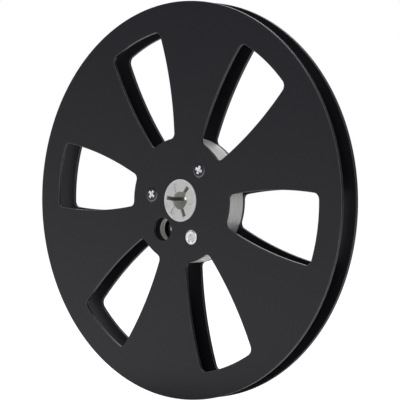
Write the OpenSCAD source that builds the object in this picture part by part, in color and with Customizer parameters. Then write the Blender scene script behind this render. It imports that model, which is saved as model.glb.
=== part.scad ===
// Seven-inch audio tape reel: two windowed metal flanges screwed to a hub made in two halves.
// Lengths are in millimetres and angles in degrees.
// Each piece is drawn about a local z axis that points out of the reel's front face.
// The stand module then turns it upright, so that the reel spins about the y axis.

/* [Flanges] */
// Outside diameter of both flanges
flange_d = 178; // [160:1:200]
// Thickness of each flange
flange_t = 1.4; // [1:0.1:2]
// Clear width between the flanges, where the tape winds
tape_gap = 8.9; // [8:0.1:13]
// Width of the bevel along every flange edge
edge_bevel = 0.2; // [0.1:0.05:0.4]
// Angle of the first window's middle line, seen from the front
clocking = -9; // [-30:1:30]

/* [Windows] */
// Number of windows in each flange
window_count = 6; // [3:1:8]
// Metal left between the windows and the outer edge
rim_land = 11.8; // [8:0.1:20]
// Width of a window's inner end before its corners are rounded
window_inner_w = 13.7; // [10:0.1:16]
// Width of a window's outer end before its corners are rounded
window_outer_w = 30.9; // [22:0.1:38]
// How far each long side of a window bows out from a straight line
side_bow = 1.9; // [0.5:0.1:4]
// Corner radius at a window's outer end
outer_corner_r = 3; // [1:0.1:5]
// Corner radius at a window's inner end
inner_corner_r = 2.5; // [1:0.1:4]

/* [Hub] */
// Diameter of the drum that the tape winds on
drum_d = 56.2; // [53:0.1:64]
// Wall of the sleeve that forms the drum
sleeve_t = 1.6; // [1:0.1:2]
// Wall of each hub half's outer ring
ring_t = 1.8; // [1.2:0.1:2.4]
// Thickness of each hub half's web, two of which meet at the middle
web_t = 1.6; // [1.4:0.05:2.6]
// Wall of the hub's central tube
tube_t = 1.75; // [1.2:0.05:1.8]
// Thickness of the ribs that tie the posts to the tube and the ring
rib_t = 1.6; // [1:0.1:3]
// Diameter of the circle that the screws lie on
screw_circle_d = 35; // [34:0.1:38]
// Wall of a screw post around its threaded insert
post_wall = 1.4; // [1:0.1:1.8]
// Diameter of the hole that takes a finger while the tape is threaded
finger_d = 10.5; // [9:0.1:11]
// Web left between the finger hole and the central tube
finger_margin = 0.25; // [0.2:0.05:1]
// Width of the bevel around the finger hole where the hub halves meet
parting_bevel = 0.25; // [0.05:0.05:0.3]
// Width of the slot that takes the end of the tape
thread_slot_w = 2; // [1:0.1:3]
// Turn of the tape slot away from the line between the axis and the finger hole
thread_slot_lean = 49; // [0:1:60]

/* [Spindle bush] */
// Diameter of the bush where it comes through the flanges
bush_d = 19; // [17:0.1:20]
// Height of the bush's faces above the flanges
bush_proud = 0.2; // [0.1:0.05:0.6]
// Diameter of the spindle bore
bore_d = 8.1; // [7:0.1:9]
// Width of the drive slots and of the rest grooves
slot_w = 1.8; // [1.2:0.1:2]
// Material left between the end of a slot and the bush's edge
slot_land = 1.8; // [1.2:0.1:2.5]
// Depth of the rest grooves
groove_depth = 0.3; // [0.2:0.1:1]
// Width of the bevel around each face of the bush
bush_bevel = 0.4; // [0.2:0.05:0.6]
// Width of the bevel at each end of the spindle bore
bore_bevel = 0.25; // [0.1:0.05:0.5]
// How far the collar stands out from the bush, between the hub halves
collar_step = 1.4; // [0.8:0.1:1.4]
// Thickness of the collar
collar_t = 2.4; // [1.6:0.1:2.8]

/* [Screws] */
// Diameter of the screw threads
screw_d = 3.4; // [3:0.1:4]
// Diameter of the countersunk heads
head_d = 6.9; // [6.2:0.1:7.2]
// Height of the straight edge around a head
head_land = 0.1; // [0.1:0.05:0.3]
// Gap between the tip of a screw and the middle of the hub
tip_gap = 0.35; // [0.2:0.05:1]
// Wall of a threaded insert around the thread
insert_wall = 1.1; // [0.8:0.1:1.2]
// Width across a cross recess, from tip to tip
cross_d = 3.7; // [3:0.1:4.2]
// Width of a cross recess's wings
wing_w = 0.95; // [0.6:0.05:1.1]
// Depth of the driver recesses
recess_depth = 1.4; // [1:0.1:1.5]
// Diameter of the shallow dish around the socket
dish_d = 4.8; // [4:0.1:5.4]
// Depth of the shallow dish around the socket
dish_depth = 0.35; // [0.2:0.05:0.5]
// Width of the socket across its flats
socket_w = 2.5; // [2:0.1:2.8]
// Turn of the cross recess in each cross screw
cross_turns = [17, 62]; // [0:1:90]

/* [Fits] */
// Gap around a piece that is seated in another
seat_gap = 0.05; // [0.02:0.01:0.1]
// Gap around the bush where it passes through a flange
bush_gap = 0.15; // [0.05:0.05:0.3]
// Gap between a screw head and its countersink
head_gap = 0.06; // [0.04:0.01:0.1]
// Gap between the drum and the line of the windows' inner ends
drum_reveal = 0.05; // [0.02:0.01:0.3]
// Depth of the screw heads below the flanges' outer faces
head_sink = 0.05; // [0:0.05:0.5]
// Depth of the inserts' ends below the flanges' inner faces
insert_sink = 0.1; // [0.05:0.01:0.2]

/* [Hidden] */
$fn = 96;

// Overrun that lets a cut pass clear through a face
cut = 0.5;
// Posts, drive slots and rest grooves all come in threes
drive_count = 3;
drive_step = 360 / drive_count;
// The posts and drive slots lie half a step from the rest grooves
post_angle = clocking + drive_step / 2;
// The finger hole lies on a groove's line, midway between two posts
finger_angle = clocking + 2 * drive_step;

half_gap = tape_gap / 2;
flange_r = flange_d / 2;
drum_r = drum_d / 2;
bush_r = bush_d / 2;
bore_r = bore_d / 2;
bush_half = half_gap + flange_t + bush_proud;
slot_reach = bush_r - slot_land;
collar_r = bush_r + collar_step;
sleeve_bore_r = drum_r - sleeve_t;
ring_r = sleeve_bore_r - seat_gap;
tube_bore_r = bush_r + seat_gap;
tube_r = tube_bore_r + tube_t;
finger_r = tube_r + finger_margin + finger_d / 2;
screw_r = screw_d / 2;
head_r = head_d / 2;
insert_r = screw_r + insert_wall;
insert_half = half_gap - insert_sink;
post_r = insert_r + seat_gap + post_wall;
screw_len = flange_t - head_sink + half_gap - tip_gap;

// A window's inner end follows the drum and its outer end follows the rim
window_in_r = drum_r + drum_reveal;
window_out_r = flange_r - rim_land;
inner_corner = corner_at(window_in_r, window_inner_w);
outer_corner = corner_at(window_out_r, window_outer_w);
side_chord = norm(outer_corner - inner_corner);
side_r = (pow(side_chord / 2, 2) + pow(side_bow, 2)) / (2 * side_bow);
side_dir = (outer_corner - inner_corner) / side_chord;
side_out = [-side_dir.y, side_dir.x];
side_centre = (inner_corner + outer_corner) / 2 + side_out * (side_bow - side_r);
// A corner's arc crosses the window's edges by this much, because arcs that only touch don't cut cleanly
corner_lap = 0.015;
inner_fillet = meeting_point(
    window_in_r + inner_corner_r - corner_lap,
    side_r - inner_corner_r + corner_lap
);
outer_fillet = meeting_point(
    window_out_r - outer_corner_r + corner_lap,
    side_r - outer_corner_r + corner_lap
);

// Corner of a window whose end is a chord of width w on the circle of radius r
function corner_at(r, w) = [sqrt(r * r - w * w / 4), w / 2];

// Point at the distance a from the axis and b from the centre of a window's long side
function meeting_point(a, b) =
    let (
        d = norm(side_centre),
        u = side_centre / d,
        along = (a * a - b * b + d * d) / (2 * d),
        off = sqrt(a * a - along * along)
    )
    [u.x * along - u.y * off, u.y * along + u.x * off];

function unit(v) = v / norm(v);

// Stands the reel upright, with its front face towards negative y
module stand() {
    rotate([90, 0, 0]) children();
}

// Carries what is drawn on the hub's inner plane out to the front flange's inner face
module front_side() {
    translate([0, 0, half_gap]) children();
}

// Copies a front piece to the rear face
module rear_side() {
    mirror([0, 0, 1]) front_side() children();
}

module at_angle(a, r) {
    rotate([0, 0, a]) translate([r, 0, 0]) children();
}

// Places a child on every post, or on the posts that are listed
module at_posts(list = [0 : drive_count - 1]) {
    for (i = list) at_angle(post_angle + i * drive_step, screw_circle_d / 2) children();
}

module ring(inner_r, outer_r, h) {
    rotate_extrude() translate([inner_r, 0]) square([outer_r - inner_r, h]);
}

// Cylinder or cone from z = 0 to z = h, carried on past both ends at the same slope
module long_cone(h, r0, r1) {
    slope = (r1 - r0) / h;
    translate([0, 0, -cut])
        cylinder(h = h + 2 * cut, r1 = r0 - slope * cut, r2 = r1 + slope * cut);
}

// What rounds off one corner: a wedge from the fillet's centre, less the fillet itself
module corner_trim(h, centre, fillet_r, end_dir, grow0, grow1) {
    side_away = unit(centre - side_centre);
    reach = 2 * (fillet_r + max(grow0, grow1));
    translate([centre.x, centre.y, 0]) difference() {
        translate([0, 0, -cut / 2]) linear_extrude(h + cut)
            polygon([[0, 0], end_dir * reach, (end_dir + side_away) * reach, side_away * reach]);
        long_cone(h, fillet_r + grow0, fillet_r + grow1);
    }
}

// One window as a solid, its outline grown by grow0 at the bottom and by grow1 at the top
module window_plug(h, grow0 = 0, grow1 = 0) {
    difference() {
        intersection() {
            cylinder(h = h, r1 = window_out_r + grow0, r2 = window_out_r + grow1);
            between_long_sides(h, grow0, grow1);
        }
        long_cone(h, window_in_r - grow0, window_in_r - grow1);
        for (turned = [0, 1]) mirror([0, turned, 0]) {
            corner_trim(h, inner_fillet, inner_corner_r, -unit(inner_fillet), grow0, grow1);
            corner_trim(h, outer_fillet, outer_corner_r, unit(outer_fillet), grow0, grow1);
        }
    }
}

// Space that lies inside both long sides of a window
module between_long_sides(h, grow0, grow1) {
    intersection() {
        translate(side_centre) long_cone(h, side_r + grow0, side_r + grow1);
        mirror([0, 1, 0]) translate(side_centre) long_cone(h, side_r + grow0, side_r + grow1);
    }
}

// Space of a countersunk head, whose top is at z = 0, with the head's gap around it
module countersink() {
    r = head_r + head_gap;
    foot_r = screw_r + head_gap;
    rise = head_sink + cut;
    rotate_extrude() polygon([
        [0, rise],
        [r + head_land + rise, rise],
        [r, -head_land],
        [foot_r, -head_land - (r - foot_r)],
        [0, -head_land - (r - foot_r)]
    ]);
}

// Disc with a bevelled edge, from z = 0 to z = t
module bevelled_disc(r, t, bevel) {
    rotate_extrude() polygon([
        [0, 0],
        [r - bevel, 0],
        [r, bevel],
        [r, t - bevel],
        [r - bevel, t],
        [0, t]
    ]);
}

// Round hole through a plate of thickness t, bevelled at both faces
module bevelled_hole(r, t, bevel) {
    translate([0, 0, -cut]) cylinder(h = t + 2 * cut, r = r);
    translate([0, 0, t - bevel]) cylinder(h = bevel + cut, r1 = r, r2 = r + bevel + cut);
    translate([0, 0, -cut]) cylinder(h = bevel + cut, r1 = r + bevel + cut, r2 = r);
}

// One flange, its inner face at z = 0 and its outer face at z = flange_t
module flange() {
    color([0.17, 0.17, 0.18]) difference() {
        bevelled_disc(flange_r, flange_t, edge_bevel);
        for (i = [0 : window_count - 1]) rotate([0, 0, clocking + i * 360 / window_count]) {
            translate([0, 0, -cut]) window_plug(flange_t + 2 * cut);
            translate([0, 0, flange_t - edge_bevel])
                window_plug(edge_bevel + cut, 0, edge_bevel + cut);
            translate([0, 0, -cut]) window_plug(edge_bevel + cut, edge_bevel + cut, 0);
        }
        bevelled_hole(bush_r + bush_gap, flange_t, bush_gap);
        at_angle(finger_angle, finger_r) bevelled_hole(finger_d / 2, flange_t, edge_bevel);
        at_posts() screw_seat() countersink();
        at_posts() translate([0, 0, -cut]) cylinder(h = flange_t + cut, r = screw_r + head_gap);
    }
}

// One half of the hub, its inner plane at z = 0 and its post tops at z = half_gap
module hub_half() {
    color([0.72, 0.72, 0.69]) difference() {
        union() {
            ring(tube_bore_r, ring_r, web_t);
            ring(tube_bore_r, tube_r, half_gap);
            ring(ring_r - ring_t, ring_r, half_gap);
            at_posts() cylinder(h = half_gap, r = post_r);
            for (i = [0 : drive_count - 1]) rotate([0, 0, post_angle + i * drive_step])
                translate([tube_r - tube_t / 2, -rib_t / 2, 0])
                    cube([ring_r - ring_t / 2 - tube_r + tube_t / 2, rib_t, half_gap]);
        }
        translate([0, 0, -cut])
            cylinder(h = collar_t / 2 + seat_gap + cut, r = collar_r + seat_gap);
        at_posts() translate([0, 0, -cut]) cylinder(h = tape_gap, r = insert_r + seat_gap);
        at_posts() front_side() screw_seat() countersink();
        at_angle(finger_angle, finger_r) translate([0, 0, -cut])
            cylinder(h = tape_gap, d = finger_d);
        at_angle(finger_angle, finger_r) translate([0, 0, -cut])
            cylinder(h = parting_bevel + cut, d1 = finger_d + 2 * (parting_bevel + cut), d2 = finger_d);
        tape_slot();
    }
}

// Space of the slot that leads the end of the tape from the drum to the finger hole
module tape_slot() {
    at_angle(finger_angle, finger_r) rotate([0, 0, thread_slot_lean])
        translate([0, -thread_slot_w / 2, -tape_gap])
            cube([drum_r, thread_slot_w, 2 * tape_gap]);
}

module sleeve() {
    color([0.78, 0.78, 0.75]) difference() {
        translate([0, 0, -half_gap]) ring(sleeve_bore_r, drum_r, tape_gap);
        tape_slot();
    }
}

module bush() {
    bore_end = bush_half - bore_bevel;
    color([0.8, 0.8, 0.77]) difference() {
        rotate_extrude() polygon([
            [bore_r + bore_bevel, -bush_half],
            [bush_r - bush_bevel, -bush_half],
            [bush_r, bush_bevel - bush_half],
            [bush_r, -collar_t / 2],
            [collar_r, -collar_t / 2],
            [collar_r, collar_t / 2],
            [bush_r, collar_t / 2],
            [bush_r, bush_half - bush_bevel],
            [bush_r - bush_bevel, bush_half],
            [bore_r + bore_bevel, bush_half],
            [bore_r, bore_end],
            [bore_r, -bore_end]
        ]);
        for (i = [0 : drive_count - 1]) {
            rotate([0, 0, post_angle + i * drive_step])
                slot_bar(-bush_half - cut, 2 * bush_half + 2 * cut);
            for (turned = [0, 1]) mirror([0, 0, turned]) rotate([0, 0, clocking + i * drive_step])
                slot_bar(bush_half - groove_depth, groove_depth + cut);
        }
    }
}

// Straight bar from the axis out to the end of a slot
module slot_bar(z, h) {
    translate([0, -slot_w / 2, z]) cube([slot_reach, slot_w, h]);
}

// Brass insert along the whole of a post, open to a screw at each end
module insert() {
    color([0.72, 0.58, 0.3]) difference() {
        translate([0, 0, -insert_half]) bevelled_disc(insert_r, 2 * insert_half, insert_sink);
        cylinder(h = 2 * tape_gap, r = screw_r + seat_gap, center = true);
        for (turned = [0, 1]) mirror([0, 0, turned]) front_side() screw_seat() countersink();
    }
}

// Countersunk screw without its recess, the top of its head at z = 0
module screw_blank() {
    cone_end = head_land + head_r - screw_r;
    lead = screw_r / 4;
    rotate_extrude() polygon([
        [0, 0],
        [head_r, 0],
        [head_r, -head_land],
        [screw_r, -cone_end],
        [screw_r, lead - screw_len],
        [screw_r - lead, -screw_len],
        [0, -screw_len]
    ]);
}

// Dark screw with a cross recess whose wings narrow towards the bottom
module cross_screw(turn) {
    wing_slope = (cross_d - wing_w) / (2 * recess_depth);
    color([0.12, 0.12, 0.13]) difference() {
        screw_blank();
        intersection() {
            rotate([0, 0, turn]) for (a = [0, 90]) rotate([0, 0, a])
                translate([-cross_d / 2, -wing_w / 2, -recess_depth])
                    cube([cross_d, wing_w, recess_depth + cut]);
            translate([0, 0, -recess_depth])
                cylinder(h = recess_depth + cut, r1 = wing_w / 2, r2 = cross_d / 2 + wing_slope * cut);
        }
    }
}

// Plated screw with a six-sided socket at the bottom of a shallow dish
module socket_screw() {
    color([0.85, 0.85, 0.86]) difference() {
        screw_blank();
        translate([0, 0, -recess_depth])
            cylinder(h = recess_depth + cut, d = socket_w / cos(30), $fn = 6);
        translate([0, 0, -dish_depth])
            cylinder(h = dish_depth + cut, d1 = dish_d - 2 * dish_depth, d2 = dish_d + 2 * cut);
    }
}

// Carries a screw, its head or its countersink down below the flange's outer face
module screw_seat() {
    translate([0, 0, flange_t - head_sink]) children();
}

module front_flange() stand() front_side() flange();

module rear_flange() stand() rear_side() flange();

module drum_sleeve() stand() sleeve();

module front_hub_half() stand() hub_half();

module rear_hub_half() stand() mirror([0, 0, 1]) hub_half();

module spindle_bush() stand() bush();

module threaded_inserts() stand() at_posts() insert();

module cross_screw_pair() {
    for (i = [0, 1]) at_posts([i]) screw_seat() cross_screw(cross_turns[i]);
}

module front_cross_screws() stand() front_side() cross_screw_pair();

module front_socket_screw() stand() front_side() at_posts([2]) screw_seat() socket_screw();

module rear_cross_screws() stand() rear_side() cross_screw_pair();

module rear_socket_screw() stand() rear_side() at_posts([2]) screw_seat() socket_screw();

front_flange();
rear_flange();
drum_sleeve();
front_hub_half();
rear_hub_half();
spindle_bush();
threaded_inserts();
front_cross_screws();
front_socket_screw();
rear_cross_screws();
rear_socket_screw();
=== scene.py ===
import math

import bmesh
import bpy
from mathutils import Matrix, Vector


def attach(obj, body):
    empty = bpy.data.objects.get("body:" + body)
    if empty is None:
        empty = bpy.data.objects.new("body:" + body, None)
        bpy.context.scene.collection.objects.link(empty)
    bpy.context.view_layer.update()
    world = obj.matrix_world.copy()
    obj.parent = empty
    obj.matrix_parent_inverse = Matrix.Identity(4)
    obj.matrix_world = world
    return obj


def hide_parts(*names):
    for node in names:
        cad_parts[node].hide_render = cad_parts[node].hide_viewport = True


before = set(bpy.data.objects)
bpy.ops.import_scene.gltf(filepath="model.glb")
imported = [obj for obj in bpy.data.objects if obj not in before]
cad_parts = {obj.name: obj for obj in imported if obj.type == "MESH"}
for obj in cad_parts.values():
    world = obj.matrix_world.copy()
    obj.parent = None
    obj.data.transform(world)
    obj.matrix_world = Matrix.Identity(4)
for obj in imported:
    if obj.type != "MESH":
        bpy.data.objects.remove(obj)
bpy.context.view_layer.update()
print("frame loaded with", len(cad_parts), "solids' nodes")

mm = 0.001
stand = Matrix.Rotation(math.radians(90), 4, "X")  # pieces are drawn about z, then stood up to spin about y


class Wire:  # an output socket that takes part in sums
    def __init__(self, graph, socket):
        self.graph = graph
        self.socket = socket

    def out(self, name):
        return Wire(self.graph, self.socket.node.outputs[name])

    def __add__(self, other):
        return self.graph.maths("ADD", self, other)

    def __radd__(self, other):
        return self.graph.maths("ADD", other, self)

    def __sub__(self, other):
        return self.graph.maths("SUBTRACT", self, other)

    def __rsub__(self, other):
        return self.graph.maths("SUBTRACT", other, self)

    def __mul__(self, other):
        return self.graph.maths("MULTIPLY", self, other)

    def __rmul__(self, other):
        return self.graph.maths("MULTIPLY", other, self)

    def __truediv__(self, other):
        return self.graph.maths("DIVIDE", self, other)

    def __rtruediv__(self, other):
        return self.graph.maths("DIVIDE", other, self)

    def __lt__(self, other):
        return self.graph.maths("LESS_THAN", self, other)

    def __gt__(self, other):
        return self.graph.maths("GREATER_THAN", self, other)


class Graph:  # a shader or geometry tree, and the one way in for its nodes
    def __init__(self, tree):
        self.tree = tree

    def node(self, kind, settings=None, inputs=None, output=0):
        made = self.tree.nodes.new(kind)
        for name, value in (settings or {}).items():
            setattr(made, name, value)
        for key, value in (inputs or {}).items():
            self.feed(made.inputs[key], value)
        return Wire(self, made.outputs[output]) if len(made.outputs) else made

    def feed(self, socket, value):
        if isinstance(value, list):  # several links into one socket
            for one in value:
                self.tree.links.new(one.socket, socket)
        elif isinstance(value, Wire):
            self.tree.links.new(value.socket, socket)
        else:
            socket.default_value = value

    def maths(self, operation, a, b=0.0):
        return self.node("ShaderNodeMath", {"operation": operation}, {0: a, 1: b})

    def vector(self, operation, a, b=(0, 0, 0)):
        return self.node("ShaderNodeVectorMath", {"operation": operation}, {0: a, 1: b})

    def along(self, spot, direction):
        return self.vector("DOT_PRODUCT", spot, direction).out("Value")

    def combine(self, x, y, z):
        return self.node("ShaderNodeCombineXYZ", inputs={"X": x, "Y": y, "Z": z})

    def polar(self, angle, distance, height=0.0):
        x = self.maths("COSINE", angle) * distance
        y = self.maths("SINE", angle) * distance
        return self.combine(x, y, height)

    def split(self, vector):  # its output X, with Y and Z beside it
        return self.node("ShaderNodeSeparateXYZ", inputs={"Vector": vector})

    def blend(self, factor, a, b):
        return self.node("ShaderNodeMix", {"data_type": "RGBA"}, {0: factor, 6: a, 7: b}, output=2)

    def noise(self, spot, scale, detail=3.0, roughness=0.5):
        return self.node("ShaderNodeTexNoise", inputs={
            "Vector": spot, "Scale": scale, "Detail": detail, "Roughness": roughness})

    def objectSpot(self):
        return self.node("ShaderNodeTexCoord").out("Object")

    def attribute(self, name):
        return self.node("ShaderNodeAttribute", {"attribute_name": name}).out("Fac")

    def bump(self, height, depth, strength):
        return self.node("ShaderNodeBump", inputs={
            "Strength": strength, "Distance": depth * mm, "Height": height})

    def fromAxis(self, a, b):
        return self.maths("SQRT", a * a + b * b)

    def ramp(self, value, low, high):
        return self.node("ShaderNodeMapRange", {"interpolation_type": "SMOOTHSTEP"},
                         {"Value": value, "From Min": low, "From Max": high})

    def given(self, name, kind="NodeSocketFloat"):  # a named input of a geometry tree
        self.tree.interface.new_socket(name, in_out="INPUT", socket_type=kind)
        return self.node("NodeGroupInput").out(name)


def geometryGraph(name):
    tree = bpy.data.node_groups.new(name, "GeometryNodeTree")
    tree.interface.new_socket("Geometry", in_out="OUTPUT", socket_type="NodeSocketGeometry")
    return Graph(tree)


def endGraph(graph, geometry, materialWire):
    solid = graph.node("GeometryNodeRealizeInstances", inputs={"Geometry": geometry})
    dressed = graph.node("GeometryNodeSetMaterial", inputs={"Geometry": solid, "Material": materialWire})
    graph.node("NodeGroupOutput", inputs={"Geometry": dressed})


def addObject(name, data):
    made = bpy.data.objects.new(name, data)
    bpy.context.scene.collection.objects.link(made)
    return made


def grow(name, tree, sizes):  # runs a geometry tree and keeps the plain mesh that it makes
    host = addObject(name + "Host", bpy.data.meshes.new(name + "Host"))
    modifier = host.modifiers.new(tree.name, "NODES")
    modifier.node_group = tree
    sockets = {i.name: i.identifier for i in tree.interface.items_tree if i.in_out == "INPUT"}
    for label, value in sizes.items():
        modifier[sockets[label]] = value
    bpy.context.view_layer.update()
    shape = bpy.data.meshes.new_from_object(host.evaluated_get(bpy.context.evaluated_depsgraph_get()))
    shape.name = name
    for i in reversed(range(len(shape.materials))):
        if shape.materials[i] is None:  # the host's own empty slot
            shape.materials.pop(index=i)
    bpy.data.objects.remove(host)
    return addObject(name, shape)


def place(piece, matrix):
    piece.data.transform(matrix)
    piece.data.update()


def shadeByAngle(piece, degrees):
    shape = bmesh.new()
    shape.from_mesh(piece.data)
    for face in shape.faces:
        face.smooth = True
    for edge in shape.edges:
        if len(edge.link_faces) == 2:
            edge.smooth = edge.calc_face_angle(0) < math.radians(degrees)
    shape.to_mesh(piece.data)
    shape.free()


def settle(piece):  # keeps what the piece's modifiers make, as a plain mesh
    bpy.context.view_layer.update()
    shape = bpy.data.meshes.new_from_object(piece.evaluated_get(bpy.context.evaluated_depsgraph_get()))
    piece.modifiers.clear()
    piece.data = shape
    return piece


def soften(piece, width, degrees, segments=2):
    bevel = piece.modifiers.new("soft edges", "BEVEL")
    bevel.width = width * mm
    bevel.segments = segments
    bevel.limit_method = "ANGLE"
    bevel.angle_limit = math.radians(degrees)
    bevel.use_clamp_overlap = True
    return settle(piece)


def hand(piece, slot, *nodes):  # gives a finished piece to the frame
    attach(piece, "root")
    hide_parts(*nodes)
    print("made", piece.name, "with", len(piece.data.polygons), "faces")


# camera

view = {  # lengths in metres, the lens and its film in millimetres
    "aroundDegrees": 40.821,
    "aboveDegrees": 0.6365,
    "distance": 0.72706,
    "aside": 0.008992,
    "raised": 0.000199,
    "faceY": -0.00585,
    "lens": 146.34,
    "film": 36,
    "nearest": 0.01,
    "farthest": 50,
}


def makeCamera():
    around, above = math.radians(view["aroundDegrees"]), math.radians(view["aboveDegrees"])
    level = Vector((math.sin(around), -math.cos(around), 0))
    back = level * math.cos(above) + Vector((0, 0, math.sin(above)))
    right = Vector((math.cos(around), math.sin(around), 0))
    up = back.cross(right)
    camera = addObject("camera", bpy.data.cameras.new("camera"))
    camera.data.lens = view["lens"]
    camera.data.sensor_width = view["film"]
    camera.data.clip_start, camera.data.clip_end = view["nearest"], view["farthest"]
    spot = back * view["distance"] + right * view["aside"] + up * view["raised"]
    spot.y += view["faceY"]
    turn = Matrix((right, up, back)).transposed().to_4x4()
    camera.matrix_world = Matrix.Translation(spot) @ turn
    bpy.context.scene.camera = camera
    bpy.context.scene.view_settings.view_transform = "Standard"


makeCamera()
print("camera set")


# finishes

def startMaterial(name):
    material = bpy.data.materials.new(name)
    material.use_nodes = True
    material.node_tree.nodes.clear()
    return material, Graph(material.node_tree)


def endMaterial(graph, shader):
    graph.node("ShaderNodeOutputMaterial", inputs={"Surface": shader})


flangeFinish = {
    "paint": (0.0084, 0.0080, 0.0104, 1),
    "paintWarm": (0.0102, 0.0098, 0.0122, 1),
    "cloudScale": 14.0,
    "sheen": (0.97, 0.95, 1.0, 1),
    "specular": 0.33,
    "roughness": 0.34,
    "roughnessCloud": 0.08,
    "roughnessGrain": 0.06,
    "grainScale": 2400.0,
    "grainDepth": 0.012,
    "grainStrength": 0.25,
    "rubAndHighlight": (0.20, 0.20, 0.205, 1),  # the metal that shows where an edge's paint is rubbed, lightened further as a painted highlight along the edges
    "rubAndHighlightMetal": 0.5,
    "rubAndHighlightLeast": 0.05,
    "rubAndHighlightSpread": 0.5,
    "wearScale": 420.0,
    "handledFrom": 29.0,  # hands rub the edges beyond this distance from the axis, where the painted edge highlight is also strongest
    "handledTo": 46.0,
    "rubAndHighlightNearHub": 0.25,
    "rubAndHighlightFarOut": 1.15,
}


def makeFlangeBlack():
    f = flangeFinish
    material, graph = startMaterial("satinBlackFlange")
    spot = graph.objectSpot()
    cloud = graph.noise(spot, f["cloudScale"], detail=4.0)
    grain = graph.noise(spot, f["grainScale"], detail=2.0)
    wear = graph.noise(spot, f["wearScale"])
    rolled = graph.attribute("rolled")
    paint = graph.blend(cloud, f["paint"], f["paintWarm"])
    parts = graph.split(spot)
    away = graph.fromAxis(parts.out("X"), parts.out("Z"))
    handled = graph.ramp(away, f["handledFrom"] * mm, f["handledTo"] * mm)
    wanted = f["rubAndHighlightNearHub"] + (f["rubAndHighlightFarOut"] - f["rubAndHighlightNearHub"]) * handled
    # the rounded edges lightened: rubbed paint and a painted highlight
    rubAndHighlight = rolled * (f["rubAndHighlightLeast"] + f["rubAndHighlightSpread"] * wear) * wanted
    bump = graph.bump(grain, f["grainDepth"], f["grainStrength"])
    roughness = f["roughness"] + f["roughnessCloud"] * (cloud - 0.5) + f["roughnessGrain"] * (grain - 0.5)
    endMaterial(graph, graph.node("ShaderNodeBsdfPrincipled", inputs={
        "Base Color": graph.blend(rubAndHighlight, paint, f["rubAndHighlight"]),
        "Metallic": rubAndHighlight * f["rubAndHighlightMetal"],
        "Roughness": roughness,
        "Specular IOR Level": f["specular"],
        "Specular Tint": f["sheen"],
        "Normal": bump,
    }))
    return material


drumFinish = {
    "coat": (0.775, 0.778, 0.745, 1),
    "coatDark": (0.390, 0.390, 0.366, 1),
    "contrast": 1.15,
    "roughness": 0.42,
    "roughnessStreak": 0.16,
    "roughnessCloud": 0.1,
    "cloudScale": 90.0,
    "streakAlong": 90.0,  # turning marks run round the drum, close together across its width
    "streakAcross": 3600.0,
    "streakDepth": 0.01,
    "streakStrength": 0.3,
}


def makeDrumGrey():
    f = drumFinish
    material, graph = startMaterial("turnedGreyDrum")
    spot = graph.objectSpot()
    stretched = graph.vector("MULTIPLY", spot, (f["streakAlong"], f["streakAcross"], f["streakAlong"]))
    streak = graph.noise(stretched, 1.0, detail=4.0, roughness=0.6)
    cloud = graph.noise(spot, f["cloudScale"])
    tone = 0.5 + f["contrast"] * (streak - 0.5)
    bump = graph.bump(streak, f["streakDepth"], f["streakStrength"])
    roughness = f["roughness"] + f["roughnessStreak"] * (streak - 0.5) + f["roughnessCloud"] * (cloud - 0.5)
    endMaterial(graph, graph.node("ShaderNodeBsdfPrincipled", inputs={
        "Base Color": graph.blend(tone, f["coatDark"], f["coat"]),
        "Roughness": roughness,
        "Normal": bump,
    }))
    return material


mouldedFinish = {
    "hub": {"light": (0.600, 0.598, 0.570, 1), "dark": (0.500, 0.498, 0.472, 1), "roughness": 0.55},
    "bush": {"light": (0.665, 0.668, 0.638, 1), "dark": (0.560, 0.563, 0.535, 1), "roughness": 0.48},
    "contrast": 1.5,
    "mottleScale": 420.0,
    "roughnessMottle": 0.14,
    "specular": 0.4,
    "grainScale": 3200.0,
    "grainDepth": 0.015,
    "grainStrength": 0.35,
    # painted shade on the walls of the bore, slots and grooves
    "recessShade": (0.270, 0.268, 0.235, 1),
    "recessShadeLeast": 0.6,
    "recessShadeSpread": 0.8,
    "pocketShade": (0.030, 0.030, 0.031, 1),  # painted shade: the hub's hollows behind the flanges, made near black where they lie in shadow
    "pocketShadeFrom": 1.55,
    "rim": (0.740, 0.745, 0.730, 1),  # a painted highlight that lightens the bush's outer edge
    "rimFrom": 8.7,
    "rimTo": 9.1,
    "rimLeast": 0.4,
    "rimSpread": 0.6,
}


def makeMoulded(name, tones):
    f = mouldedFinish
    material, graph = startMaterial(name)
    spot = graph.objectSpot()
    mottle = graph.noise(spot, f["mottleScale"], detail=5.0, roughness=0.6)
    grain = graph.noise(spot, f["grainScale"], detail=2.0)
    hollow = graph.attribute("hollow")
    parts = graph.split(spot)
    plastic = graph.blend(0.5 + f["contrast"] * (mottle - 0.5), tones["dark"], tones["light"])
    if name == "mouldedGreyBush":
        away = graph.fromAxis(parts.out("X"), parts.out("Z"))
        # painted highlight: the bush lighter towards its outer edge
        rim = graph.ramp(away, f["rimFrom"] * mm, f["rimTo"] * mm)
        plastic = graph.blend(rim * (f["rimLeast"] + f["rimSpread"] * mottle), plastic, f["rim"])
    else:
        # painted shade: the hub near black beyond this depth, where the pockets behind the flanges lie in
        # shadow
        deep = graph.maths("ABSOLUTE", parts.out("Y")) > f["pocketShadeFrom"] * mm
        plastic = graph.blend(deep, plastic, f["pocketShade"])
    # painted shade: darker on the walls of the bore, slots and grooves
    recessShade = hollow * (f["recessShadeLeast"] + f["recessShadeSpread"] * mottle)
    bump = graph.bump(grain, f["grainDepth"], f["grainStrength"])
    endMaterial(graph, graph.node("ShaderNodeBsdfPrincipled", inputs={
        "Base Color": graph.blend(recessShade, plastic, f["recessShade"]),
        "Roughness": tones["roughness"] + f["roughnessMottle"] * (mottle - 0.5),
        "Specular IOR Level": f["specular"],
        "Normal": bump,
    }))
    return material


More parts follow.
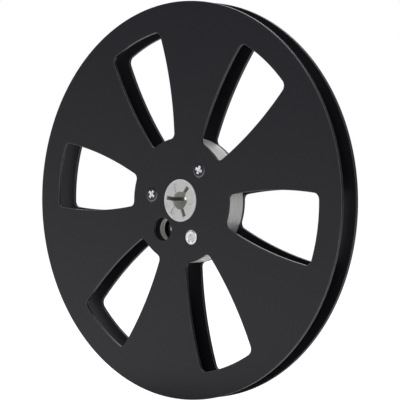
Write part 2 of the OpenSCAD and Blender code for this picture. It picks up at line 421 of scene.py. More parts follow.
screwFinish = {
    "black": (0.052, 0.053, 0.058, 1),
    # worn bare metal, light enough to act as a painted highlight in the recess and at the head's edge
    "bare": (0.95, 0.96, 0.98, 1),
    "plate": (0.83, 0.83, 0.84, 1),
    "plateDull": (0.73, 0.73, 0.74, 1),
    "plateMetal": 0.85,
    "plateRoughness": 0.35,
    "plateScratch": 0.14,
    "bareAndHighlightMetal": 0.35,
    "blackRoughness": 0.30,
    "blackScratch": 0.12,
    "bareAndHighlightRoughness": 0.15,
    "scratchScale": 900.0,
}


def makeScrewBlack():
    f = screwFinish
    material, graph = startMaterial("blackenedScrew")
    spot = graph.objectSpot()
    scratch = graph.noise(spot, f["scratchScale"], detail=4.0)
    # recess and head edge lightened: worn metal and a painted highlight
    bare = graph.attribute("bare")
    endMaterial(graph, graph.node("ShaderNodeBsdfPrincipled", inputs={
        "Base Color": graph.blend(bare, f["black"], f["bare"]),
        "Metallic": 1 - (1 - f["bareAndHighlightMetal"]) * bare,
        "Roughness": f["blackRoughness"] + f["blackScratch"] * (scratch - 0.5) + f["bareAndHighlightRoughness"] * bare,
    }))
    return material


def makeScrewPlate():
    f = screwFinish
    material, graph = startMaterial("platedScrew")
    spot = graph.objectSpot()
    scratch = graph.noise(spot, f["scratchScale"], detail=4.0)
    endMaterial(graph, graph.node("ShaderNodeBsdfPrincipled", inputs={
        "Base Color": graph.blend(scratch, f["plateDull"], f["plate"]),
        "Metallic": f["plateMetal"],
        "Roughness": f["plateRoughness"] + f["plateScratch"] * (scratch - 0.5),
    }))
    return material


insertFinish = {
    "brass": (0.74, 0.57, 0.28, 1),
    "brassDull": (0.62, 0.45, 0.19, 1),
    "roughness": 0.3,
    "roughnessStreak": 0.15,
    "streakAlong": 200,
    "streakAcross": 4000,
}


def makeInsertBrass():
    f = insertFinish
    material, graph = startMaterial("turnedBrassInsert")
    spot = graph.objectSpot()
    stretched = graph.vector("MULTIPLY", spot, (f["streakAlong"], f["streakAcross"], f["streakAlong"]))
    streak = graph.noise(stretched, 1.0)
    endMaterial(graph, graph.node("ShaderNodeBsdfPrincipled", inputs={
        "Base Color": graph.blend(streak, f["brassDull"], f["brass"]),
        "Metallic": 1.0,
        "Roughness": f["roughness"] + f["roughnessStreak"] * (streak - 0.5),
    }))
    return material


flangeBlack = makeFlangeBlack()
drumGrey = makeDrumGrey()
hubGrey = makeMoulded("mouldedGreyHub", mouldedFinish["hub"])
bushGrey = makeMoulded("mouldedGreyBush", mouldedFinish["bush"])
screwBlack = makeScrewBlack()
screwPlate = makeScrewPlate()
insertBrass = makeInsertBrass()
print("finishes made")


# flanges

reel = {
    "halfGap": 4.45,
    "posts": 3,
    "postCircle": 17.5,
    "firstPost": 51.0,
    "postStep": 120.0,
}

flange = {
    "rimRadius": 89.0,
    "thickness": 1.4,
    "edgeRound": 0.2,
    "roundSteps": 4,
    "holeRound": 0.15,
    "windows": 6,
    "firstWindow": -9.0,
    "bushHole": 9.65,
    "fingerHole": 5.25,
    "fingerAngle": 231.0,
    "fingerPlace": 16.8,
    "sinkRadius": 3.66,
    "sinkBack": 2.26,
    "rimSteps": 288,
    "bushHoleSteps": 96,
    "fingerSteps": 64,
    "sinkSteps": 48,
    "edgeRubAndHighlight": 1.0,  # how much each kind of edge can be rubbed and lightened as a painted highlight
    "bushHoleRubAndHighlight": 0.2,
    "sinkRubAndHighlight": 0.25,
    "joinWithin": 0.002,
}

window = {
    "innerEnd": 28.15,
    "outerEnd": 77.2,
    "innerWidth": 13.7,
    "outerWidth": 30.9,
    "sideBow": 1.9,
    "innerCorner": 2.5,
    "outerCorner": 3.0,
    "innerSteps": 6,
    "outerSteps": 10,
    "cornerSteps": 10,
    "sideSteps": 24,
}


def arc(centre, radius, start, end, steps):  # takes the shorter way round
    turn = (end - start + math.pi) % (2 * math.pi) - math.pi
    angles = [start + turn * i / steps for i in range(steps + 1)]
    return [centre + Vector((math.cos(a), math.sin(a))) * radius for a in angles]


def heading(direction):
    return math.atan2(direction.y, direction.x)


def meeting(a, centre, b):  # the point a from the axis and b from centre, on its left
    d = centre.length
    along = (a * a - b * b + d * d) / (2 * d)
    off = math.sqrt(a * a - along * along)
    u = centre / d
    return Vector((u.x * along - u.y * off, u.y * along + u.x * off))


def windowOutline(grown):  # eight arcs, drawn clockwise and moved out by grown
    w = window
    inner = Vector((math.sqrt(w["innerEnd"] ** 2 - w["innerWidth"] ** 2 / 4), w["innerWidth"] / 2))
    outer = Vector((math.sqrt(w["outerEnd"] ** 2 - w["outerWidth"] ** 2 / 4), w["outerWidth"] / 2))
    chord = (outer - inner).length
    sideRadius = ((chord / 2) ** 2 + w["sideBow"] ** 2) / (2 * w["sideBow"])
    away = Vector((inner.y - outer.y, outer.x - inner.x)) / chord
    sideCentre = (inner + outer) / 2 + away * (w["sideBow"] - sideRadius)
    ri, ro = w["innerCorner"], w["outerCorner"]
    low = meeting(w["innerEnd"] + ri, sideCentre, sideRadius - ri)
    high = meeting(w["outerEnd"] - ro, sideCentre, sideRadius - ro)
    origin = Vector((0, 0))
    lowSide, highSide = heading(low - sideCentre), heading(high - sideCentre)
    half = arc(origin, w["innerEnd"] - grown, 0, heading(low), w["innerSteps"])
    half += arc(low, ri + grown, heading(-low), lowSide, w["cornerSteps"])[1:]
    half += arc(sideCentre, sideRadius + grown, lowSide, highSide, w["sideSteps"])[1:]
    half += arc(high, ro + grown, highSide, heading(high), w["cornerSteps"])[1:]
    half += arc(origin, w["outerEnd"] + grown, heading(high), 0, w["outerSteps"])[1:]
    return half + [Vector((p.x, -p.y)) for p in half[-2:0:-1]]


def loopCurve(name, points):
    curve = bpy.data.curves.new(name, "CURVE")
    curve.dimensions = "3D"
    spline = curve.splines.new("POLY")
    spline.points.add(len(points) - 1)
    for target, p in zip(spline.points, points):
        target.co = (p.x * mm, p.y * mm, 0, 1)
    spline.use_cyclic_u = True
    return addObject(name, curve)


def rounded(graph, curve, steps, radius):
    return graph.node("GeometryNodeFilletCurve", {"mode": "POLY"},
                      {"Curve": curve, "Count": steps, "Radius": radius, "Limit Radius": True})


def edgeProfile(graph, xs, ys, roundRadius):  # a line through a few points, its inner corners rounded
    index = graph.node("GeometryNodeInputIndex")
    line = graph.node("GeometryNodeCurvePrimitiveLine")
    few = graph.node("GeometryNodeResampleCurve", inputs={"Curve": line, "Count": len(xs)})
    pick = [(index > i - 0.5) * (index < i + 0.5) for i in range(len(xs))]
    x = sum(p * v for p, v in zip(pick, xs))
    y = sum(p * v for p, v in zip(pick, ys))
    moved = graph.node("GeometryNodeSetPosition", inputs={
        "Geometry": few, "Position": graph.combine(x, y, 0.0)})
    return rounded(graph, moved, flange["roundSteps"], roundRadius)


def repeated(graph, shape, number, angle, spot=(0, 0, 0)):  # copies of a shape, each turned by its own angle
    points = graph.node("GeometryNodePoints", inputs={"Count": number, "Position": spot})
    placed = graph.node("GeometryNodeInstanceOnPoints", inputs={
        "Points": points, "Instance": shape, "Rotation": graph.combine(0.0, 0.0, angle)})
    return graph.node("GeometryNodeRealizeInstances", inputs={"Geometry": placed})


def flangeTree():
    f = flange
    graph = geometryGraph("windowedFlange")
    rim = graph.given("Rim radius")
    thick = graph.given("Thickness")
    edge = graph.given("Edge rounding")
    fine = graph.given("Bush hole rounding")
    outline = graph.given("Window outline", "NodeSocketObject")
    count = graph.given("Windows", "NodeSocketInt")
    first = graph.given("First window")
    bushHole = graph.given("Bush hole radius")
    finger = graph.given("Finger hole radius")
    fingerAngle = graph.given("Finger hole angle")
    fingerPlace = graph.given("Finger hole distance")
    sink = graph.given("Countersink radius")
    sinkBack = graph.given("Countersink back radius")
    postCircle = graph.given("Post circle radius")
    firstPost = graph.given("First post")
    paint = graph.given("Material", "NodeSocketMaterial")

    def circle(radius, steps):
        return graph.node("GeometryNodeCurvePrimitiveCircle", {"mode": "RADIUS"},
                          {"Resolution": steps, "Radius": radius})

    def reverse(curve):
        return graph.node("GeometryNodeReverseCurve", inputs={"Curve": curve})

    def atPosts(shape):
        posts = reel["posts"]
        angle = firstPost + graph.node("GeometryNodeInputIndex") * (2 * math.pi / posts)
        return repeated(graph, shape, posts, angle, graph.polar(angle, postCircle))

    def join(*shapes):
        return graph.node("GeometryNodeJoinGeometry", inputs={"Geometry": list(shapes)})

    def wall(outlines, profile, curved, amount):
        flat = graph.node("GeometryNodeSetCurveNormal", {"mode": "Z_UP"}, {"Curve": outlines})
        swept = graph.node("GeometryNodeCurveToMesh", inputs={"Curve": flat, "Profile Curve": profile})
        smooth = graph.node("GeometryNodeSetShadeSmooth", {"domain": "FACE"},
                            {"Geometry": swept, "Shade Smooth": True})
        spot = graph.split(graph.node("GeometryNodeInputPosition"))
        onCurve = graph.maths("ABSOLUTE", spot.out("Z")) > half - curved
        # rolled: how much rubbed paint and painted highlight each rounded edge gets
        return graph.node("GeometryNodeStoreNamedAttribute", {"data_type": "FLOAT", "domain": "FACE"},
                          {"Geometry": smooth, "Name": "rolled", "Value": onCurve * amount})

    def face(outlines, height):
        filled = graph.node("GeometryNodeFillCurve", {"mode": "TRIANGLES"}, {"Curve": outlines})
        return graph.node("GeometryNodeTransform", inputs={
            "Geometry": filled, "Translation": graph.combine(0.0, 0.0, height)})

    half = thick * 0.5
    windowLoop = graph.node("GeometryNodeObjectInfo", inputs={"Object": outline}).out("Geometry")
    turned = first + graph.node("GeometryNodeInputIndex") * (2 * math.pi) / count
    windows = repeated(graph, windowLoop, count, turned)
    fingerLoop = graph.node("GeometryNodeTransform", inputs={
        "Geometry": reverse(circle(finger + edge, f["fingerSteps"])),
        "Translation": graph.polar(fingerAngle, fingerPlace)})
    edged = join(circle(rim - edge, f["rimSteps"]), windows, fingerLoop)
    bushLoop = reverse(circle(bushHole + fine, f["bushHoleSteps"]))
    sinks = atPosts(reverse(circle(sink + fine, f["sinkSteps"])))
    sinkBacks = atPosts(reverse(circle(sinkBack, f["sinkSteps"])))

    front, behind = -1 * half, half  # a wall's profile comes out with its y downwards
    edgeLine = edgeProfile(graph, (0.0, edge, edge, 0.0), (front, front, behind, behind), edge)
    fineLine = edgeProfile(graph, (0.0, fine, fine, 0.0), (front, front, behind, behind), fine)
    sinkLine = edgeProfile(graph, (0.0, fine, fine + sink - sinkBack), (front, front, behind), fine)
    backFace = face(join(edged, bushLoop, sinkBacks), -1 * half)
    whole = join(
        face(join(edged, bushLoop, sinks), half),
        graph.node("GeometryNodeFlipFaces", inputs={"Mesh": backFace}),
        wall(edged, edgeLine, edge, f["edgeRubAndHighlight"]),
        wall(bushLoop, fineLine, fine, f["bushHoleRubAndHighlight"]),
        wall(sinks, sinkLine, thick, f["sinkRubAndHighlight"]),
    )
    merged = graph.node("GeometryNodeMergeByDistance", inputs={
        "Geometry": whole, "Distance": f["joinWithin"] * mm})
    endGraph(graph, merged, paint)
    return graph.tree


def makeFlanges():
    f = flange
    loop = loopCurve("windowLoop", windowOutline(f["edgeRound"]))
    tree = flangeTree()
    front = grow("frontFlange", tree, {
        "Rim radius": f["rimRadius"] * mm,
        "Thickness": f["thickness"] * mm,
        "Edge rounding": f["edgeRound"] * mm,
        "Bush hole rounding": f["holeRound"] * mm,
        "Window outline": loop,
        "Windows": f["windows"],
        "First window": math.radians(f["firstWindow"]),
        "Bush hole radius": f["bushHole"] * mm,
        "Finger hole radius": f["fingerHole"] * mm,
        "Finger hole angle": math.radians(f["fingerAngle"]),
        "Finger hole distance": f["fingerPlace"] * mm,
        "Countersink radius": f["sinkRadius"] * mm,
        "Countersink back radius": f["sinkBack"] * mm,
        "Post circle radius": reel["postCircle"] * mm,
        "First post": math.radians(reel["firstPost"]),
        "Material": flangeBlack,
    })
    bpy.data.objects.remove(loop)
    out = (reel["halfGap"] + f["thickness"] / 2) * mm
    rear = addObject("rearFlange", front.data.copy())
    place(front, stand @ Matrix.Translation((0, 0, out)))
    place(rear, stand @ Matrix.Diagonal((1, 1, -1, 1)) @ Matrix.Translation((0, 0, out)))
    rear.data.flip_normals()
    hand(front, "flange_black", "front_flange")
    hand(rear, "flange_black", "rear_flange")


makeFlanges()


# drum

drum = {
    "radius": 28.1,
    "wall": 1.6,
    "width": 8.9,
    "edgeRound": 0.12,
    "roundSteps": 3,
    "slotWidth": 2.0,
    "slotLean": 49.0,
    "slotSoft": 0.1,
    "sharpFrom": 50,
    "steps": 220,
}


def drumTree():
    graph = geometryGraph("slottedDrum")
    radius = graph.given("Radius")
    wall = graph.given("Wall")
    width = graph.given("Width")
    edge = graph.given("Edge rounding")
    slotWidth = graph.given("Slot width")
    slotLean = graph.given("Slot lean")
    holeAngle = graph.given("Finger hole angle")
    holePlace = graph.given("Finger hole distance")
    steps = graph.given("Steps", "NodeSocketInt")
    coat = graph.given("Material", "NodeSocketMaterial")
    path = graph.node("GeometryNodeCurvePrimitiveCircle", {"mode": "RADIUS"},
                      {"Resolution": steps, "Radius": radius - wall * 0.5})
    upright = graph.node("GeometryNodeSetCurveNormal", {"mode": "Z_UP"}, {"Curve": path})
    section = graph.node("GeometryNodeCurvePrimitiveQuadrilateral", {"mode": "RECTANGLE"},
                         {"Width": wall, "Height": width})
    soft = rounded(graph, section, drum["roundSteps"], edge)
    sleeve = graph.node("GeometryNodeCurveToMesh", inputs={"Curve": upright, "Profile Curve": soft})
    slotAngle = holeAngle + slotLean  # the slot runs from the finger hole's middle out through the sleeve
    middle = graph.vector("ADD", graph.polar(holeAngle, holePlace), graph.polar(slotAngle, radius * 0.5))
    bar = graph.node("GeometryNodeMeshCube", inputs={"Size": graph.combine(radius, slotWidth, width * 2)})
    placed = graph.node("GeometryNodeTransform", inputs={
        "Geometry": bar, "Translation": middle, "Rotation": graph.combine(0.0, 0.0, slotAngle)})
    slotted = graph.node("GeometryNodeMeshBoolean", {"operation": "DIFFERENCE", "solver": "EXACT"},
                         {"Mesh 1": sleeve, "Mesh 2": placed})
    endGraph(graph, slotted, coat)
    return graph.tree


def makeDrum():
    d = drum
    sleeve = grow("drumSleeve", drumTree(), {
        "Radius": d["radius"] * mm,
        "Wall": d["wall"] * mm,
        "Width": d["width"] * mm,
        "Edge rounding": d["edgeRound"] * mm,
        "Slot width": d["slotWidth"] * mm,
        "Slot lean": math.radians(d["slotLean"]),
        "Finger hole angle": math.radians(flange["fingerAngle"]),
        "Finger hole distance": flange["fingerPlace"] * mm,
        "Steps": d["steps"],
        "Material": drumGrey,
    })
    soften(sleeve, d["slotSoft"], d["sharpFrom"])
    place(sleeve, stand)
    shadeByAngle(sleeve, d["sharpFrom"])
    hand(sleeve, "drum_grey", "drum_sleeve")


makeDrum()


# turned shapes, shared by the bush and the screws

def softPath(corners, steps=4):  # corners are (radius, height, rounding)
    path = []
    for i, (r, z, soft) in enumerate(corners):
        here = Vector((r, z))
        if soft == 0 or i in (0, len(corners) - 1):
            path.append(here)
            continue
        before = (Vector(corners[i - 1][:2]) - here).normalized()
        after = (Vector(corners[i + 1][:2]) - here).normalized()
        half = before.angle(after) / 2
        reach = soft / math.tan(half)
        centre = here + (before + after).normalized() * (soft / math.sin(half))
        start, end = heading(here + before * reach - centre), heading(here + after * reach - centre)
        path += arc(centre, soft, start, end, steps)
    return path


def ringMesh(name, rings, closed):  # a skin over rings of points, with flat ends unless it is closed
    shape = bmesh.new()
    loops = [[shape.verts.new((x * mm, y * mm, z * mm)) for x, y, z in ring] for ring in rings]
    for a, b in zip(loops, loops[1:] + loops[:1] if closed else loops[1:]):
        for i in range(len(a)):
            j = (i + 1) % len(a)
            shape.faces.new((a[i], a[j], b[j], b[i]))
    if not closed:
        shape.faces.new(loops[0])
        shape.faces.new(loops[-1])
    bmesh.ops.recalc_face_normals(shape, faces=shape.faces)
    made = bpy.data.meshes.new(name)
    shape.to_mesh(made)
    shape.free()
    return addObject(name, made)


def turnedMesh(name, path, steps, closed):  # spins a path of (radius, height) about z
    angles = [2 * math.pi * i / steps for i in range(steps)]
    rings = [[(p.x * math.cos(a), p.x * math.sin(a), p.y) for a in angles] for p in path]
    return ringMesh(name, rings, closed)


# spindle bush

bush = {
    "radius": 9.5,
    "half": 6.05,
    "faceRound": 0.4,
    "bore": 4.05,
    "boreRound": 0.25,
    "collar": 10.9,
    "collarHalf": 1.2,
    "slots": 3,
    "slotWidth": 1.8,
    "slotReach": 7.7,
    "slotStart": 2.4,
    "grooveDepth": 0.3,
    "firstGroove": -9.0,
    "edgeSoft": 0.1,
    "softFrom": 35,
    "sharpFrom": 30,
    "steps": 96,
    "overrun": 1.0,  # how far the cutters stand out of the faces
    # how dark the painted shade is in the bore and in the slots
    "boreShade": 0.45,
    "slotShade": 1.0,
    "hollowWithin": 1.02,  # of the slots' reach
    "slotsFrom": 1.03,  # of the bore's radius
}


def bushTree():
    graph = geometryGraph("slottedBush")
    body = graph.given("Turned body", "NodeSocketObject")
    width = graph.given("Slot width")
    reach = graph.given("Slot reach")
    start = graph.given("Slot start")
    bore = graph.given("Bore radius")
    half = graph.given("Half height")
    depth = graph.given("Groove depth")
    firstSlot = graph.given("First slot")
    firstGroove = graph.given("First groove")
    count = graph.given("Slots", "NodeSocketInt")
    coat = graph.given("Material", "NodeSocketMaterial")
    extra = bush["overrun"] * mm

    def bars(height, middle, first):
        bar = graph.node("GeometryNodeMeshCube", inputs={"Size": graph.combine(reach - start, width, height)})
        moved = graph.node("GeometryNodeTransform", inputs={
            "Geometry": bar, "Translation": graph.combine((reach + start) * 0.5, 0.0, middle)})
        angle = first + graph.node("GeometryNodeInputIndex") * (2 * math.pi) / count
        return repeated(graph, moved, count, angle)

    groove = depth + extra
    cutters = [
        bars(2 * (half + extra), 0.0, firstSlot),
        bars(groove, half - depth + groove * 0.5, firstGroove),
        bars(groove, -1 * (half - depth + groove * 0.5), firstGroove),
    ]
    turned = graph.node("GeometryNodeObjectInfo", inputs={"Object": body}).out("Geometry")
    cut = graph.node("GeometryNodeMeshBoolean", {"operation": "DIFFERENCE", "solver": "EXACT"},
                     {"Mesh 1": turned, "Mesh 2": cutters})
    spot = graph.split(graph.node("GeometryNodeInputPosition"))
    facing = graph.split(graph.node("GeometryNodeInputNormal"))
    away = graph.fromAxis(spot.out("X"), spot.out("Y"))
    upright = graph.maths("ABSOLUTE", facing.out("Z")) < 0.5
    inside = (away < reach * bush["hollowWithin"]) * upright  # walls of the bore, slots and grooves, darkened there as painted shade
    pastBore = away > bore * bush["slotsFrom"]
    hollow = inside * (bush["boreShade"] + (bush["slotShade"] - bush["boreShade"]) * pastBore)
    marked = graph.node("GeometryNodeStoreNamedAttribute", {"data_type": "FLOAT", "domain": "FACE"},
                        {"Geometry": cut, "Name": "hollow", "Value": hollow})
    endGraph(graph, marked, coat)
    return graph.tree


def makeBush():
    b = bush
    path = softPath([
        (b["bore"], b["half"], b["boreRound"]),
        (b["radius"], b["half"], b["faceRound"]),
        (b["radius"], b["collarHalf"], 0),
        (b["collar"], b["collarHalf"], 0),
        (b["collar"], -b["collarHalf"], 0),
        (b["radius"], -b["collarHalf"], 0),
        (b["radius"], -b["half"], b["faceRound"]),
        (b["bore"], -b["half"], b["boreRound"]),
    ])
    body = turnedMesh("bushBody", path, b["steps"], True)
    made = grow("spindleBush", bushTree(), {
        "Turned body": body,
        "Slot width": b["slotWidth"] * mm,
        "Slot reach": b["slotReach"] * mm,
        "Slot start": b["slotStart"] * mm,
        "Bore radius": b["bore"] * mm,
        "Half height": b["half"] * mm,
        "Groove depth": b["grooveDepth"] * mm,
        "First slot": math.radians(reel["firstPost"]),
        "First groove": math.radians(b["firstGroove"]),
        "Slots": b["slots"],
        "Material": bushGrey,
    })
    bpy.data.objects.remove(body)
    soften(made, b["edgeSoft"], b["softFrom"])
    place(made, stand)
    shadeByAngle(made, b["sharpFrom"])
    hand(made, "bush_grey", "spindle_bush")


makeBush()


# screws

screw = {
    "threadRadius": 1.7,
    "headRadius": 3.45,
    "headLand": 0.1,
    "crownDrop": 0.17,
    "crownWidth": 0.9,
    "crownSteps": 6,
    "length": 5.45,
    "leadIn": 0.425,
    "steps": 64,
    "sunk": 0.05,
    "bareAndHighlightReach": 1.95,  # the driver wears the recess bare, and its near-white colour is also a painted highlight
    "bareAndHighlightBelow": 0.02,
    # the head's edge lightened: a little wear and a painted highlight ring
    "wornEdgeHighlight": 0.10,
    "wornEdgeHighlightFrom": 3.0,
    "sharpFrom": 20,
    "above": 0.3,  # how far the recesses' cutters stand out of the heads
}

cross = {
    "tipToTip": 3.7,
    "wing": 0.95,
    "depth": 1.4,
    "bottom": 1.3,
    "soft": 0.13,
    "turns": (17.0, 62.0),
}

socket = {
    "across": 2.5,
    "depth": 1.4,
    "soft": 0.08,
    "dishRadius": 2.4,
    "dishWall": 0.5,
    "dishDepth": 0.35,
    "footRound": 0.2,
    "lipRound": 0.1,
    "lipDrop": 0.02,
    "lipWidth": 0.35,
    "raised": 0.05,
    "rimDrop": 0.3,
}


def crownPath(width, drop, raised=0.0):  # the top of a head falls away to its edge, where its cone starts
    steps = screw["crownSteps"]
    edge = screw["headRadius"] + screw["headLand"] - max(screw["headLand"], drop - raised)
    parts = [i / steps for i in range(steps + 1)]
    return [(edge - width * (1 - part), raised - drop * part ** 2, 0) for part in parts]


def screwPath(top):  # from the head's top down its cone and thread to its tip
    s = screw
    r, land = s["headRadius"], s["headLand"]
    cone = land + r - s["threadRadius"]
    if top[-1][1] > -land:
        top = top + [(r, -land, 0)]
    return softPath(top + [
        (s["threadRadius"], -cone, 0),
        (s["threadRadius"], s["leadIn"] - s["length"], 0),
        (s["threadRadius"] - s["leadIn"], -s["length"], 0),
    ])


def prism(name, levels):  # outlines with as many corners, each at its height
    rings = [[(x, y, height) for x, y in outline] for outline, height in levels]
    return ringMesh(name, rings, False)


def crossOutline(reach, wing):
    corners = []
    for i in range(4):
        a = math.radians(90 * i)
        for x, y in ((reach, -wing), (reach, wing), (wing, wing)):
            corners.append((x * math.cos(a) - y * math.sin(a), x * math.sin(a) + y * math.cos(a)))
    return corners


def hexOutline(across):
    corner = across / math.sqrt(3)
    angles = [math.radians(60 * i) for i in range(6)]
    return [(corner * math.cos(a), corner * math.sin(a)) for a in angles]


def carve(body, cutter):
    cut = body.modifiers.new("recess", "BOOLEAN")
    cut.operation = "DIFFERENCE"
    cut.solver = "EXACT"
    cut.object = cutter
    settle(body)
    bpy.data.objects.remove(cutter)
    return body


def crossScrewBody():
    c = cross
    half, wing, soft, above = c["tipToTip"] / 2, c["wing"] / 2, c["soft"], screw["above"]
    slope = (half - c["bottom"] / 2) / c["depth"]
    cutter = prism("crossCutter", [
        (crossOutline(half + slope * above, wing + soft + above), above),
        (crossOutline(half - slope * soft, wing), -soft),
        (crossOutline(c["bottom"] / 2, wing), -c["depth"]),
    ])
    crown = crownPath(screw["crownWidth"], screw["crownDrop"])
    return carve(turnedMesh("crossScrew", screwPath(crown), screw["steps"], False), cutter)


def socketScrewBody():
    s = socket
    bottom, above = s["raised"] - s["dishDepth"], screw["above"]
    cutter = prism("socketCutter", [
        (hexOutline(s["across"] + 2 * (s["soft"] + above)), bottom + above),
        (hexOutline(s["across"]), bottom - s["soft"]),
        (hexOutline(s["across"]), -s["depth"]),
    ])
    wallFoot = s["dishRadius"] - s["dishWall"]
    dish = [
        (wallFoot - s["footRound"], bottom, 0),
        (wallFoot, bottom, s["footRound"]),
        (s["dishRadius"], s["raised"] - s["lipDrop"], s["lipRound"]),
    ]
    rim = crownPath(screw["headRadius"] - s["dishRadius"] - s["lipWidth"], s["rimDrop"], s["raised"])
    return carve(turnedMesh("socketScrew", screwPath(dish + rim), screw["steps"], False), cutter)


def screwRingTree():
    graph = geometryGraph("screwRing")
    screwObject = graph.given("Screw", "NodeSocketObject")
    count = graph.given("Screws", "NodeSocketInt")
    circle = graph.given("Post circle radius")
    first = graph.given("First post")
    step = graph.given("Post step")
    height = graph.given("Head height")
    side = graph.given("Side")
    turn = graph.given("First turn")
    turnStep = graph.given("Turn step")
    bareAndHighlightReach = graph.given("Bare and highlit recess reach")
    bareAndHighlightDepth = graph.given("Bare and highlit recess depth")
    wornEdgeHighlight = graph.given("Worn and highlit edge")
    wornEdgeHighlightFrom = graph.given("Worn and highlit edge start")
    finish = graph.given("Material", "NodeSocketMaterial")
    one = graph.node("GeometryNodeObjectInfo", inputs={"Object": screwObject}).out("Geometry")
    spot = graph.split(graph.node("GeometryNodeInputPosition"))
    away, z = graph.fromAxis(spot.out("X"), spot.out("Y")), spot.out("Z")
    # recess and head edge marked for lightening: worn metal and a painted highlight
    inRecess = (away < bareAndHighlightReach) * (z < -screw["bareAndHighlightBelow"] * mm) * (z > -1 * bareAndHighlightDepth)
    bare = inRecess + wornEdgeHighlight * (away > wornEdgeHighlightFrom)
    marked = graph.node("GeometryNodeStoreNamedAttribute", {"data_type": "FLOAT", "domain": "FACE"},
                        {"Geometry": one, "Name": "bare", "Value": bare})
    index = graph.node("GeometryNodeInputIndex")
    angle = first + index * step
    spots = graph.node("GeometryNodePoints", inputs={
        "Count": count, "Position": graph.polar(angle, circle, height * side)})
    recessTurn = turn + index * turnStep
    over = (1 - side) * (math.pi / 2)
    placed = graph.node("GeometryNodeInstanceOnPoints", inputs={
        "Points": spots, "Instance": marked, "Rotation": graph.combine(over, 0.0, angle + recessTurn)})
    endGraph(graph, placed, finish)
    return graph.tree


def makeScrews():
    s = screw
    tree = screwRingTree()
    headHeight = reel["halfGap"] + flange["thickness"] - s["sunk"]
    crossBody, socketBody = crossScrewBody(), socketScrewBody()
    kinds = [  # name, body, how many, first post, turns, finish, slot, node
        ("CrossScrews", crossBody, 2, 0, cross["turns"], screwBlack, "screw_black", "cross_screws"),
        ("SocketScrew", socketBody, 1, 2, (0.0, 0.0), screwPlate, "screw_plated", "socket_screw"),
    ]
    for side, sideName in ((1.0, "front"), (-1.0, "rear")):
        for label, body, count, post, turns, finish, slot, node in kinds:
            ring = grow(sideName + label, tree, {
                "Screw": body,
                "Screws": count,
                "Post circle radius": reel["postCircle"] * mm,
                "First post": math.radians(reel["firstPost"] + post * reel["postStep"]),
                "Post step": math.radians(reel["postStep"]),
                "Head height": headHeight * mm,
                "Side": side,
                "First turn": math.radians(turns[0]),
                "Turn step": math.radians(turns[1] - turns[0]),
                "Bare and highlit recess reach": s["bareAndHighlightReach"] * mm,
                "Bare and highlit recess depth": (cross["depth"] + s["bareAndHighlightBelow"]) * mm,
                "Worn and highlit edge": s["wornEdgeHighlight"],
                "Worn and highlit edge start": s["wornEdgeHighlightFrom"] * mm,
                "Material": finish,
            })
            place(ring, stand)
            shadeByAngle(ring, s["sharpFrom"])
            hand(ring, slot, sideName + "_" + node)
    bpy.data.objects.remove(crossBody)
    bpy.data.objects.remove(socketBody)


makeScrews()


# pieces that stay as they came

def dress(node, material):
    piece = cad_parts[node]
    piece.data.materials.clear()
    piece.data.materials.append(material)
    print("dressed", node)


dress("front_hub_half", hubGrey)
dress("rear_hub_half", hubGrey)
dress("threaded_inserts", insertBrass)


# floor, background and light

studio = {
    "floorSize": 6.0,
    "floorGap": 0.02,
    "floorTone": (0.87, 0.87, 0.87, 1),
    "floorShown": 0.75,
    "floorWhite": 1.3,
    "floorLit": (0.03, 0.09),  # from here on towards the light side, reflections see the floor white
    "backdropSide": (-0.65, 0.76, 0.0),  # which way the white backdrop lies
    "backdropEdge": (0.35, 0.8),
    "backdropLight": (0.66, 0.66, 0.66, 1),
    "lightSide": (-0.65, -0.76, 0.0),
    "lightEdge": (-0.6, 0.4),
    "roomLight": (1.14, 1.14, 1.15, 1),
    "roomDim": (0.06, 0.06, 0.065, 1),
    "roomTop": (0.035, 0.028, 0.062, 1),
    "topEdge": (-0.14, 0.22),
    "lamps": [  # name, place, power, width, height
        ("topBox", (-0.75, -0.30, 0.90), 3.5, 0.7, 0.7),
        ("overBox", (0.20, 0.10, 1.25), 14.0, 0.8, 0.8),
        ("frontBox", (0.45, -1.00, 0.55), 3.7, 0.7, 0.7),
        ("rightBox", (1.15, 0.10, 0.40), 0.6, 0.6, 0.7),
        ("backLeftBox", (-0.65, 0.9, 0.55), 1.2, 0.8, 0.6),
    ],
}


def seenBy(graph, mirrored):  # the camera, and the reflections where mirrored is 1
    path = graph.node("ShaderNodeLightPath")
    glossy = graph.maths("MAXIMUM", path.out("Is Glossy Ray") * mirrored, path.out("Is Transmission Ray"))
    return graph.maths("MAXIMUM", path.out("Is Camera Ray"), glossy)


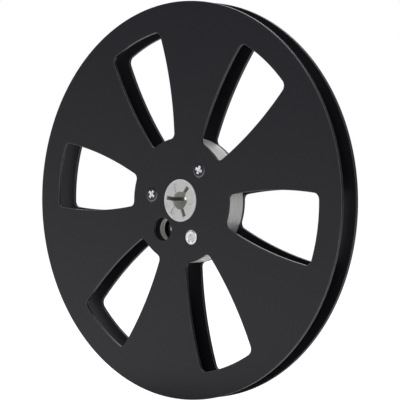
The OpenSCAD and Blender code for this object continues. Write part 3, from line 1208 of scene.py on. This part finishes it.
def makeFloor():
    s = studio
    half = s["floorSize"] / 2
    shape = bmesh.new()
    bmesh.ops.create_grid(shape, x_segments=1, y_segments=1, size=half)
    made = bpy.data.meshes.new("floor")
    shape.to_mesh(made)
    shape.free()
    floor = addObject("floor", made)
    floor.data.transform(Matrix.Translation((0, 0, -(flange["rimRadius"] + s["floorGap"]) * mm)))
    material, graph = startMaterial("paleFloor")
    lit = graph.ramp(graph.along(graph.objectSpot(), s["lightSide"]), *s["floorLit"])
    seen = seenBy(graph, lit)
    matt = graph.node("ShaderNodeBsdfDiffuse", inputs={"Color": s["floorTone"]})
    white = graph.node("ShaderNodeEmission", inputs={"Color": (1, 1, 1, 1), "Strength": s["floorWhite"]})
    mixed = graph.node("ShaderNodeMixShader", inputs={0: seen * s["floorShown"], 1: matt, 2: white})
    endMaterial(graph, mixed)
    floor.data.materials.append(material)


def makeWorld():  # a white backdrop behind the reel, in a room that is light on one side only
    w = studio
    world = bpy.data.worlds.new("studio")
    world.use_nodes = True
    world.node_tree.nodes.clear()
    graph = Graph(world.node_tree)
    direction = graph.node("ShaderNodeTexCoord").out("Generated")
    height = graph.split(direction).out("Z")
    backdrop = graph.ramp(graph.along(direction, w["backdropSide"]), *w["backdropEdge"])
    lit = graph.ramp(graph.along(direction, w["lightSide"]), *w["lightEdge"])
    walls = graph.blend(lit, w["roomDim"], w["roomLight"])
    room = graph.blend(graph.ramp(height, *w["topEdge"]), walls, w["roomTop"])
    around = graph.blend(backdrop, room, w["backdropLight"])
    tone = graph.blend(seenBy(graph, backdrop), around, (1, 1, 1, 1))
    light = graph.node("ShaderNodeBackground", inputs={"Color": tone, "Strength": 1.0})
    graph.node("ShaderNodeOutputWorld", inputs={"Surface": light})
    bpy.context.scene.world = world


def makeLamps():
    for name, spot, power, width, height in studio["lamps"]:
        lamp = bpy.data.lights.new(name, "AREA")
        lamp.shape = "RECTANGLE"
        lamp.size, lamp.size_y = width, height
        lamp.energy = power
        holder = addObject(name, lamp)
        holder.location = spot
        holder.rotation_euler = (-Vector(spot)).to_track_quat("-Z", "Y").to_euler()


makeFloor()
makeWorld()
makeLamps()
print("studio set")
